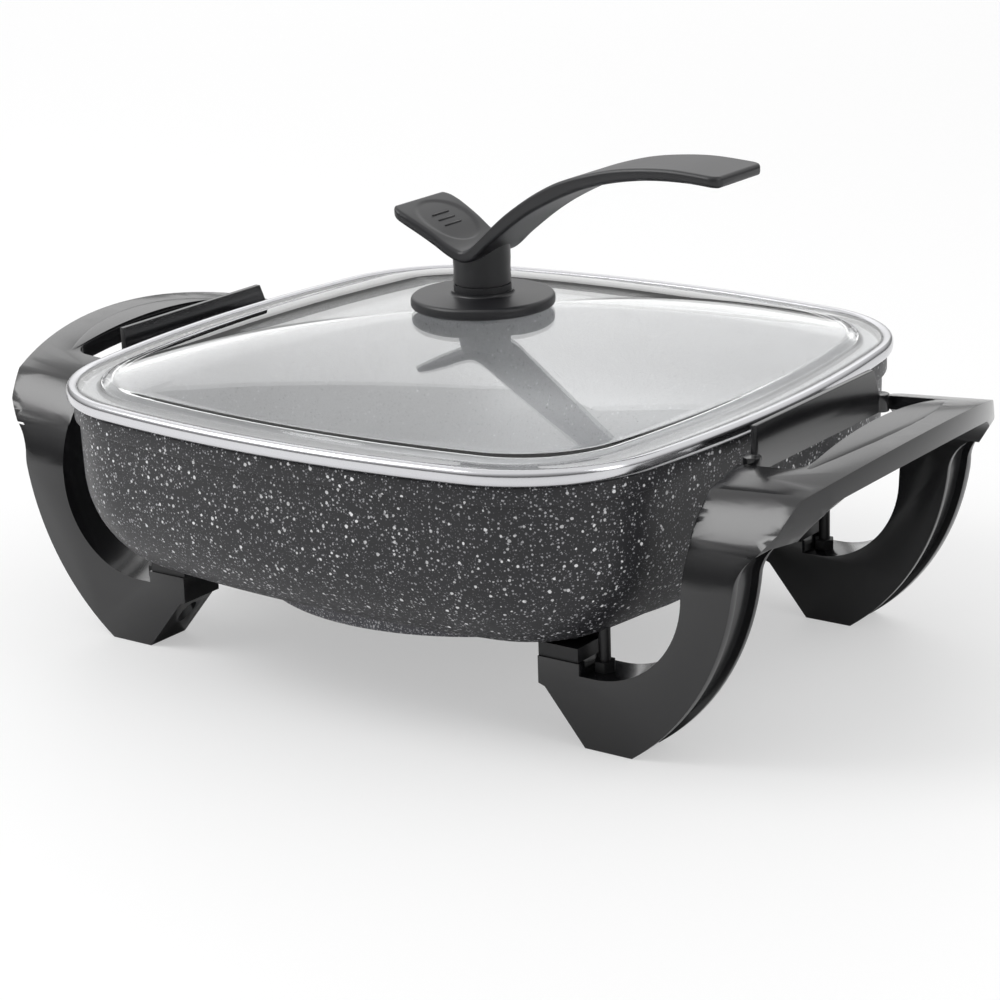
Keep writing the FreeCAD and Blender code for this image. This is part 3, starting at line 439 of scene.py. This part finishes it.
def makeRim():
    tree, start = newTree("sweptStrip", [("Width", "NodeSocketFloat"), ("Height", "NodeSocketFloat"),
                                         ("Round", "NodeSocketFloat"), ("Material", "NodeSocketMaterial")])
    path = addNode(tree, "GeometryNodeMeshToCurve", {0: start.outputs["Geometry"]})
    upright = addNode(tree, "GeometryNodeSetCurveNormal", {0: path.outputs[0]}, mode="Z_UP")
    section = addNode(tree, "GeometryNodeCurvePrimitiveQuadrilateral", {
        "Width": start.outputs["Width"], "Height": start.outputs["Height"]})
    rounded = addNode(tree, "GeometryNodeFilletCurve", {
        0: section.outputs[0], "Radius": start.outputs["Round"], "Limit Radius": True}, mode="POLY")
    rounded.inputs["Count"].default_value = rim["roundSteps"]
    strip = addNode(tree, "GeometryNodeCurveToMesh", {0: upright.outputs[0], 1: rounded.outputs[0]})
    finishTree(tree, strip.outputs[0])
    inset = rim["Width"] / 2
    ring = bowedRing(rim["half"] - inset, rim["corner"] - inset, rim["low"] + rim["Height"] / 2,
                     rim["sideSteps"], rim["cornerSteps"])
    line = bpy.data.meshes.new("rimPath")
    links = [(k, (k + 1) % len(ring)) for k in range(len(ring))]
    line.from_pydata([Vector(p) * mm for p in ring], links, [])
    carrier = bpy.data.objects.new("rimPath", line)
    scene.collection.objects.link(carrier)
    values = {key: rim[key] * mm for key in ("Width", "Height", "Round")}
    values["Material"] = buffedStainless
    return growMesh("rolledRim", carrier, tree, values)


rolledRim = makeRim()
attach(rolledRim, "lid")
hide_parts("lid_rim_band")
print("rim made")

# knob: disc, post and the V of a thumb wing and a long arm
knob = {"wingEnd": -32.5, "tip": 126.5, "corner": 5.0, "edge": 1.7, "wingHalf": 19.6, "creaseHalf": 16.8,
        "tipHalf": 18.0, "wingFull": 24.0, "armSpread": 1.3, "recessAt": -17.0, "recessLong": 12.0,
        "recessWide": 14.0, "recessDeep": 0.5, "recessSoft": 0.12, "ribs": 3, "ribLength": 10.5,
        "ribWidth": 1.0, "ribPitch": 3.7, "ribHigh": 0.5, "topLanes": 28, "lowLanes": 12, "edgeSteps": 5,
        "roundFrom": 78, "slack": 0.1, "leastEdge": 0.15, "endStep": 0.12, "nearStep": 0.4,
        "farStep": 1.6, "endReach": 0.6, "nearReach": 6.0, "bendTo": 8.0, "inset": 0.02}
topLine = [(-32.5, 185.6), (-24, 182), (-14.5, 177), (-6, 171.6), (0.5, 168.9), (4, 169.7), (8, 172.5),
           (18, 181.5), (26, 187.9), (39, 196.4), (51.7, 202.6), (70.4, 208.2), (85, 210.7), (104, 211.9),
           (126.5, 210.6)]
underLine = [(-32.5, 181.1), (-22, 176), (-12, 170.4), (-5, 166), (0, 164.1), (5, 164.5), (9, 166.9),
             (15, 172.3), (28, 182.3), (38, 188.7), (51.5, 195.6), (64, 200.6), (78, 204.2), (94, 206.5),
             (112, 207), (126.5, 206)]
disk = {"low": 142.7, "thick": 5.0, "reach": 30.5, "lowRound": 1.6, "topRound": 1.8, "crown": 0.4,
        "neck": 13.0, "neckRound": 1.2, "neckHigh": 0.3}
stem = {"low": 147.8, "radius": 12.2, "jointAt": 4.6, "jointDeep": 0.6, "jointHigh": 0.5, "chamfer": 0.1,
        "waistAt": 11.0, "waist": 0.2, "sideHigh": 15.5, "sink": 0.8}


# smooth height along a line of points, without overshoot
def along(line, x):
    for k in range(len(line) - 1):
        if x <= line[k + 1][0] or k == len(line) - 2:
            break
    (x0, y0), (x1, y1) = line[k], line[k + 1]
    slopes = []
    for j in (k, k + 1):
        if 0 < j < len(line) - 1:
            slopes.append((line[j + 1][1] - line[j - 1][1]) / (line[j + 1][0] - line[j - 1][0]))
        else:
            near = (0, 1) if j == 0 else (-2, -1)
            slopes.append((line[near[1]][1] - line[near[0]][1]) / (line[near[1]][0] - line[near[0]][0]))
    t = (x - x0) / (x1 - x0)
    step = x1 - x0
    return ((2 * t ** 3 - 3 * t * t + 1) * y0 + (t ** 3 - 2 * t * t + t) * step * slopes[0]
            + (3 * t * t - 2 * t ** 3) * y1 + (t ** 3 - t * t) * step * slopes[1])


def halfWidth(x):
    if x < 0:
        half = knob["creaseHalf"] + (knob["wingHalf"] - knob["creaseHalf"]) * min(1, -x / knob["wingFull"])
    else:
        grown = (x / knob["tip"]) ** knob["armSpread"]
        half = knob["creaseHalf"] + (knob["tipHalf"] - knob["creaseHalf"]) * grown
    close = min(x - knob["wingEnd"], knob["tip"] - x)
    if close < knob["corner"]:
        half -= knob["corner"] - math.sqrt(max(0, knob["corner"] ** 2 - (knob["corner"] - close) ** 2))
    return half


# how far the top face is sunk at a spot of the wing: an oval dish with a soft edge
def dish(x, y):
    away = math.hypot((x - knob["recessAt"]) / knob["recessLong"], y / knob["recessWide"])
    soft = knob["recessSoft"]
    t = min(1, max(0, (1 + soft / 2 - away) / soft))
    return knob["recessDeep"] * t * t * (3 - 2 * t)


# stations lie close at both ends and in the bend, and further apart along the arm
def makeHandle():
    last = knob["tip"] - knob["inset"]
    stations, x = [], knob["wingEnd"] + knob["inset"]
    while x < last:
        stations.append(x)
        close = min(x - knob["wingEnd"], knob["tip"] - x)
        near = close < knob["nearReach"] or x < knob["bendTo"]
        x += knob["endStep"] if close < knob["endReach"] else knob["nearStep" if near else "farStep"]
    stations.append(last)
    turn, steps = knob["roundFrom"], knob["edgeSteps"]
    topLanes, lowLanes = knob["topLanes"], knob["lowLanes"]
    rings = []
    for x in stations:
        half, top, low = halfWidth(x), along(topLine, x), along(underLine, x)
        close = min(x - knob["wingEnd"], knob["tip"] - x)
        edge = min(knob["edge"], (top - low) / 2 - knob["slack"])
        ease = edge - math.sqrt(max(0, edge ** 2 - (edge - min(edge, close)) ** 2))
        top, low = top - ease, low + ease
        edge = max(knob["leastEdge"], edge - ease)
        flat = half - edge
        ring = []
        for k in range(topLanes + 1):
            y = -flat + 2 * flat * k / topLanes
            ring.append((x, y, top - dish(x, y)))
        upper, lower = (0, top - edge), (0, low + edge)
        outward = arc(upper, edge, turn, 0, steps) + arc(lower, edge, 0, -turn, steps)
        inward = arc(lower, edge, 180 + turn, 180, steps) + arc(upper, edge, 180, 180 - turn, steps)
        ring += [(x, a + flat, z) for a, z in outward]
        ring += [(x, flat - 2 * flat * k / lowLanes, low) for k in range(lowLanes + 1)]
        ring += [(x, a - flat, z) for a, z in inward]
        rings.append(ring)
    start, end = (tuple(sum(p[i] for p in rings[k]) / len(rings[k]) for i in range(3)) for k in (0, -1))
    points, faces = loftRings([[start]] + rings + [[end]])
    return makeObject("wingedHandle", points, faces, [satinMoulding], sharp=50.0)


# short ribs across the dish, spaced along the wing and laid on its slope
def makeRibs():
    tree, start = newTree("thumbRibs", [("Count", "NodeSocketInt"), ("Pitch", "NodeSocketFloat"),
                                        ("Length", "NodeSocketFloat"), ("Thick", "NodeSocketFloat"),
                                        ("Slope", "NodeSocketFloat"), ("Middle", "NodeSocketVector"),
                                        ("Material", "NodeSocketMaterial")])
    rib = addNode(tree, "GeometryNodeMeshCylinder", {"Vertices": 16, "Side Segments": 1,
                                                     "Radius": start.outputs["Thick"],
                                                     "Depth": start.outputs["Length"]})
    ball = addNode(tree, "GeometryNodeMeshUVSphere", {
        "Segments": 16, "Rings": 8, "Radius": start.outputs["Thick"]})
    halfLength = addNode(tree, "ShaderNodeMath", {0: start.outputs["Length"], 1: 0.5}, operation="MULTIPLY")
    minus = addNode(tree, "ShaderNodeMath", {0: halfLength.outputs[0], 1: -1.0}, operation="MULTIPLY")
    up = addNode(tree, "ShaderNodeCombineXYZ", {"Z": halfLength.outputs[0]})
    down = addNode(tree, "ShaderNodeCombineXYZ", {"Z": minus.outputs[0]})
    ends = [addNode(tree, "GeometryNodeTransform", {0: ball.outputs[0], "Translation": side.outputs[0]})
            for side in (up, down)]
    whole = addNode(tree, "GeometryNodeJoinGeometry")
    for part in (rib, ends[0], ends[1]):
        tree.links.new(part.outputs[0], whole.inputs[0])
    laid = addNode(tree, "GeometryNodeTransform", {0: whole.outputs[0], "Rotation": (math.pi / 2, 0.0, 0.0)})
    offset = addNode(tree, "ShaderNodeCombineXYZ", {"X": start.outputs["Pitch"]})
    row = addNode(tree, "GeometryNodeMeshLine", {
        "Count": start.outputs["Count"], "Offset": offset.outputs[0]})
    spread = addNode(tree, "GeometryNodeInstanceOnPoints", {0: row.outputs[0], "Instance": laid.outputs[0]})
    tilt = addNode(tree, "ShaderNodeCombineXYZ", {"Y": start.outputs["Slope"]})
    placed = addNode(tree, "GeometryNodeTransform", {0: spread.outputs[0], "Rotation": tilt.outputs[0],
                                                     "Translation": start.outputs["Middle"]})
    finishTree(tree, placed.outputs[0])
    first = knob["recessAt"] - knob["ribPitch"] * (knob["ribs"] - 1) / 2
    last = knob["recessAt"] + knob["ribPitch"] * (knob["ribs"] - 1) / 2
    slope = math.atan2(along(topLine, first) - along(topLine, last), last - first)
    carrier = bpy.data.objects.new("ribCarrier", bpy.data.meshes.new("ribCarrier"))
    scene.collection.objects.link(carrier)
    level = along(topLine, first) - knob["recessDeep"] - knob["ribWidth"] / 2 + knob["ribHigh"]
    return growMesh("thumbRibs", carrier, tree, {
        "Count": knob["ribs"], "Pitch": knob["ribPitch"] * mm, "Length": knob["ribLength"] * mm,
        "Thick": knob["ribWidth"] * mm / 2, "Slope": slope, "Middle": (first * mm, 0.0, level * mm),
        "Material": satinMoulding})


def makeTurned(name, profile, material, steps=96, sharp=40.0):
    points, faces = loftRings(turnedRings(profile, steps))
    return makeObject(name, points, faces, [material], sharp=sharp)


# round post with a fine joint line; its top follows the V that rests on it
def makePost():
    low, wide = stem["low"], stem["radius"]
    deep, joint = wide - stem["jointDeep"], low + stem["jointAt"]
    ease, high = stem["chamfer"], stem["jointHigh"]
    rings = turnedRings([
        (0, low), (wide, low), (wide, joint), (deep, joint + ease), (deep, joint + ease + high),
        (wide, joint + 2 * ease + high), (wide - stem["waist"], low + stem["waistAt"]),
        (wide, low + stem["sideHigh"])])
    for share in (1.0, 0.5):
        rings.append([(x * share, y * share, along(underLine, x * share) + stem["sink"])
                      for x, y, z in rings[-1]])
    rings.append([(0.0, 0.0, along(underLine, 0) + stem["sink"])])
    points, faces = loftRings(rings)
    return makeObject("handlePost", points, faces, [satinMoulding])


# heat disc with rounded edges, a slight crown and a short neck round the post
def makeDisc():
    low, top, reach, neck = disk["low"], disk["low"] + disk["thick"], disk["reach"], disk["neck"]
    lowRound, topRound, neckRound = disk["lowRound"], disk["topRound"], disk["neckRound"]
    root = top + disk["crown"] + neckRound
    profile = [(0, low)] + arc((reach - lowRound, low + lowRound), lowRound, -90, 0, 5)
    profile += arc((reach - topRound, top - topRound), topRound, 0, 90, 6)
    profile += arc((neck + neckRound, root), neckRound, -90, -180, 4)
    profile += [(neck, root + disk["neckHigh"]), (0, root + disk["neckHigh"])]
    return makeTurned("heatDisc", profile, satinMoulding)


handle = makeHandle()
ribs = makeRibs()
disc = makeDisc()
post = makePost()
for piece, node in ((handle, "knob_handle"), (ribs, None), (disc, "knob_disc"), (post, "knob_post")):
    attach(piece, "lid")
    if node:
        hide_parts(node)
print("knob made")


# the handle frames and guards: the CAD solids, merged, with their edges rounded
frames = {"edge": 1.1, "guardEdge": 0.5, "reach": 212.0, "bow": 17.5, "halfDepth": 97.2,
          "taperTop": 104.0, "taperLow": 84.5, "taperSteps": 6, "taperSlope": 0.62, "slack": 0.01,
          "merge": 0.01, "sliver": 0.02, "flatAngle": 0.6, "bevelAngle": 32, "sharpAngle": 40, "segments": 3}


# draws the lip at a grip's ends in towards the leg, so that one runs smoothly into the other
def taperLip(body):
    fall = frames["taperTop"] - frames["taperLow"]
    for k in range(frames["taperSteps"] + 1):
        level = frames["taperLow"] + fall * k / frames["taperSteps"]
        bmesh.ops.bisect_plane(body, geom=body.verts[:] + body.edges[:] + body.faces[:],
                               plane_co=(0, 0, level * mm), plane_no=(0, 0, 1))
    for vert in body.verts:
        x, y, z = vert.co / mm
        side = frames["reach"] - frames["bow"] * (y / frames["halfDepth"]) ** 2
        limit = side - frames["taperSlope"] * max(0, frames["taperTop"] - z)
        if z >= frames["taperLow"] - frames["slack"] and abs(x) > limit:
            vert.co.x = math.copysign(limit, x) * mm


def roundedCopy(name, node, width, material, reshape=None):
    mesh = nodes[node].data.copy()
    mesh.name = name
    body = bmesh.new()
    body.from_mesh(mesh)
    bmesh.ops.remove_doubles(body, verts=body.verts, dist=frames["merge"] * mm)
    bmesh.ops.dissolve_limit(body, angle_limit=math.radians(frames["flatAngle"]), verts=body.verts,
                             edges=body.edges)
    if reshape:
        reshape(body)
    bmesh.ops.dissolve_degenerate(body, dist=frames["sliver"] * mm, edges=body.edges)
    body.to_mesh(mesh)
    body.free()
    mesh.materials.clear()
    mesh.materials.append(material)
    thing = bpy.data.objects.new(name, mesh)
    scene.collection.objects.link(thing)
    bevel = thing.modifiers.new("edges", "BEVEL")
    bevel.width = width * mm
    bevel.segments = frames["segments"]
    bevel.limit_method = "ANGLE"
    bevel.angle_limit = math.radians(frames["bevelAngle"])
    bevel.use_clamp_overlap = True
    scene.view_layers[0].update()
    done = bpy.data.meshes.new_from_object(thing.evaluated_get(bpy.context.evaluated_depsgraph_get()))
    thing.modifiers.clear()
    done.name = name
    thing.data = done
    done.shade_smooth()
    done.set_sharp_from_angle(angle=math.radians(frames["sharpAngle"]))
    print(name, "faces", len(done.polygons))
    return thing


for side in ("right", "left"):
    piece = roundedCopy(side + "HandleFrame", side + "_handle_frame", frames["edge"], glossMoulding,
                        reshape=taperLip)
    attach(piece, "pot")
    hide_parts(side + "_handle_frame")
    piece = roundedCopy(side + "FingerGuard", side + "_finger_guard", frames["guardEdge"], glossMoulding)
    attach(piece, "pot")
    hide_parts(side + "_finger_guard")


# the frame's top skin, which tilts up outwards and arches from front to back
grip = {"inner": 81.2, "outer": 222.0, "top": 119.7, "tilt": 9.0, "arch": 14.8, "crestIn": 186.6,
        "crestTip": 1.2, "crestWide": 13.7, "crestHalf": 55.0, "crestRise": 1.3, "crestEnds": 0.8,
        "crestSide": 2.4, "crestSink": 1.5, "lanes": 14, "steps": 72}


def gripSkin(x, y):
    share = (grip["outer"] - x) / (grip["outer"] - grip["inner"])
    return grip["top"] - grip["tilt"] * share - grip["arch"] * (y / frames["halfDepth"]) ** 2


# raised palm pad on the middle of a grip: upright towards the slot, fading out towards the front and back
def makeCrest(name, side):
    lanes, steps = grip["lanes"], grip["steps"]
    rings = []
    for k in range(steps + 1):
        u = -1 + 2 * k / steps
        y = grip["crestHalf"] * u
        wide = grip["crestTip"] + grip["crestWide"] * (1 - u * u)
        upper, lower = [], []
        for n in range(lanes + 1):
            v = n / lanes
            x = grip["crestIn"] + wide * v
            ridge = math.sqrt(max(0, 1 - v ** grip["crestSide"]))
            lift = grip["crestRise"] * (1 - u * u) ** grip["crestEnds"] * ridge
            upper.append((x * side, y, gripSkin(x, y) + lift))
            lower.append((x * side, y, gripSkin(x, y) - grip["crestSink"]))
        rings.append(upper + lower[::-1])
    points, faces = loftRings(rings)
    count = len(rings[0])
    faces.append(tuple(range(count)))
    faces.append(tuple(range(len(points) - count, len(points))))
    return makeObject(name, points, faces, [glossMoulding], sharp=50.0)


for name, side in (("rightPalmPad", 1), ("leftPalmPad", -1)):
    pad = makeCrest(name, side)
    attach(pad, "pot")
print("frames made")

# the remaining solids show as they are
finishes = {"heating_element": heaterSheath, "leg_screws": zincSteel, "leg_studs": nylonMoulding,
            "stud_nuts": nylonMoulding, "inlet_shroud": nylonMoulding, "shroud_screws": zincSteel,
            "inlet_insulator": steatite, "terminal_pin_front": nickelPlate, "terminal_pin_back": nickelPlate,
            "probe_tube": heaterSheath, "knob_seal": silicone, "knob_washer": zincSteel,
            "knob_screw": zincSteel}
for corner in ("front_right", "front_left", "back_right", "back_left"):
    finishes[corner + "_leg_spacer"] = nylonMoulding
for node, material in finishes.items():
    nodes[node].data.materials.clear()
    nodes[node].data.materials.append(material)


# room: pale floor and backdrop, soft lamps, and the camera of the photograph
# dimSide points from the object to the camera's side, where the walls are darker
room = {"floor": "#f4f4f4", "glow": 0.45, "overhead": 1.0, "horizon": 0.16, "horizonTo": 0.62,
        "dimSide": (0.587, -0.809, 0.0), "dimFrom": 0.3, "dimTo": 0.85, "dimShare": 0.45, "reach": 6.0,
        "under": 0.1}


def makeFloor():
    material, tree, shader, output, coords = newMaterial("paleFloor", {
        "Base Color": linear(room["floor"]), "Roughness": 0.55, "Specular IOR Level": 0.25})
    rays = addNode(tree, "ShaderNodeLightPath")
    glow = addNode(tree, "ShaderNodeEmission", {"Color": (1, 1, 1, 1), "Strength": 1.0})
    seen = addNode(tree, "ShaderNodeMath", {
        0: rays.outputs["Is Camera Ray"], 1: rays.outputs["Is Transmission Ray"]}, operation="MAXIMUM")
    share = addNode(tree, "ShaderNodeMath", {0: seen.outputs[0], 1: room["glow"]}, operation="MULTIPLY")
    mixed = addNode(tree, "ShaderNodeMixShader", {
        0: share.outputs[0], 1: shader.outputs[0], 2: glow.outputs[0]})
    tree.links.new(mixed.outputs[0], output.inputs["Surface"])
    reach = room["reach"]
    corners = ((-reach, -reach), (reach, -reach), (reach, reach), (-reach, reach))
    mesh = bpy.data.meshes.new("floor")
    mesh.from_pydata([(x, y, -room["under"] * mm) for x, y in corners], [], [(0, 1, 2, 3)])
    mesh.materials.append(material)
    floor = bpy.data.objects.new("floor", mesh)
    scene.collection.objects.link(floor)


def makeWorld():
    world = bpy.data.worlds.new("studio")
    scene.world = world
    world.use_nodes = True
    tree = world.node_tree
    tree.nodes.clear()
    rays = addNode(tree, "ShaderNodeLightPath")
    seen = addNode(tree, "ShaderNodeMath", {
        0: rays.outputs["Is Camera Ray"], 1: rays.outputs["Is Transmission Ray"]}, operation="MAXIMUM")
    coords = addNode(tree, "ShaderNodeTexCoord")
    parts = addNode(tree, "ShaderNodeSeparateXYZ", {0: coords.outputs["Generated"]})
    sky = addNode(tree, "ShaderNodeMapRange", {
        "Value": parts.outputs["Z"], "From Min": 0.0, "From Max": room["horizonTo"],
        "To Min": room["horizon"], "To Max": room["overhead"]}, interpolation_type="SMOOTHSTEP")
    towards = addNode(tree, "ShaderNodeVectorMath", {0: coords.outputs["Generated"], 1: room["dimSide"]},
                      operation="DOT_PRODUCT")
    dim = addNode(tree, "ShaderNodeMapRange", {
        "Value": towards.outputs["Value"], "From Min": room["dimFrom"], "From Max": room["dimTo"],
        "To Min": 1.0, "To Max": room["dimShare"]}, interpolation_type="SMOOTHSTEP")
    walls = addNode(tree, "ShaderNodeMath", {0: sky.outputs[0], 1: dim.outputs[0]}, operation="MULTIPLY")
    level = addNode(tree, "ShaderNodeMapRange", {
        "Value": seen.outputs[0], "To Min": walls.outputs[0], "To Max": 1.0})
    back = addNode(tree, "ShaderNodeBackground", {"Color": (1, 1, 1, 1), "Strength": level.outputs[0]})
    addNode(tree, "ShaderNodeOutputWorld", {"Surface": back.outputs[0]})


def addLamp(name, place, aim, width, height, power):
    lamp = bpy.data.lights.new(name, "AREA")
    lamp.shape = "RECTANGLE"
    lamp.size = width
    lamp.size_y = height
    lamp.energy = power
    thing = bpy.data.objects.new(name, lamp)
    thing.location = place
    thing.rotation_euler = (Vector(aim) - Vector(place)).to_track_quat("-Z", "Y").to_euler()
    scene.collection.objects.link(thing)


makeFloor()
makeWorld()
addLamp("keyLamp", (-1.1, -0.9, 1.5), (0, 0, 0.08), 1.1, 0.9, 15.0)
addLamp("backLamp", (-1.5, 2.1, 1.05), (0, 0, 0.1), 2.6, 1.5, 8.0)
addLamp("sideLamp", (1.7, -0.1, 0.9), (0, 0, 0.08), 0.5, 1.2, 5.0)

# camera: angles in degrees, place in metres and lens in mm on a 36 mm wide sensor
view = {"azimuth": 35.96, "elevation": 17.43, "roll": -1.93, "place": (0.69392, -0.94925, 0.42556),
        "lens": 103.30, "sensor": 36.0}
a, e, roll = (math.radians(view[key]) for key in ("azimuth", "elevation", "roll"))
back = Vector((math.sin(a) * math.cos(e), -math.cos(a) * math.cos(e), math.sin(e)))
right = (-back).cross(Vector((0, 0, 1))).normalized()
up = right.cross(-back)
turnedRight = right * math.cos(roll) + up * math.sin(roll)
turnedUp = up * math.cos(roll) - right * math.sin(roll)
camera = bpy.data.objects.new("camera", bpy.data.cameras.new("camera"))
camera.data.lens = view["lens"]
camera.data.sensor_width = view["sensor"]
camera.data.clip_end = 30.0
placed = Matrix((turnedRight, turnedUp, back)).transposed().to_4x4()
placed.translation = Vector(view["place"])
camera.matrix_world = placed
scene.collection.objects.link(camera)
scene.camera = camera
scene.view_settings.view_transform = "Standard"
print("room and camera made")
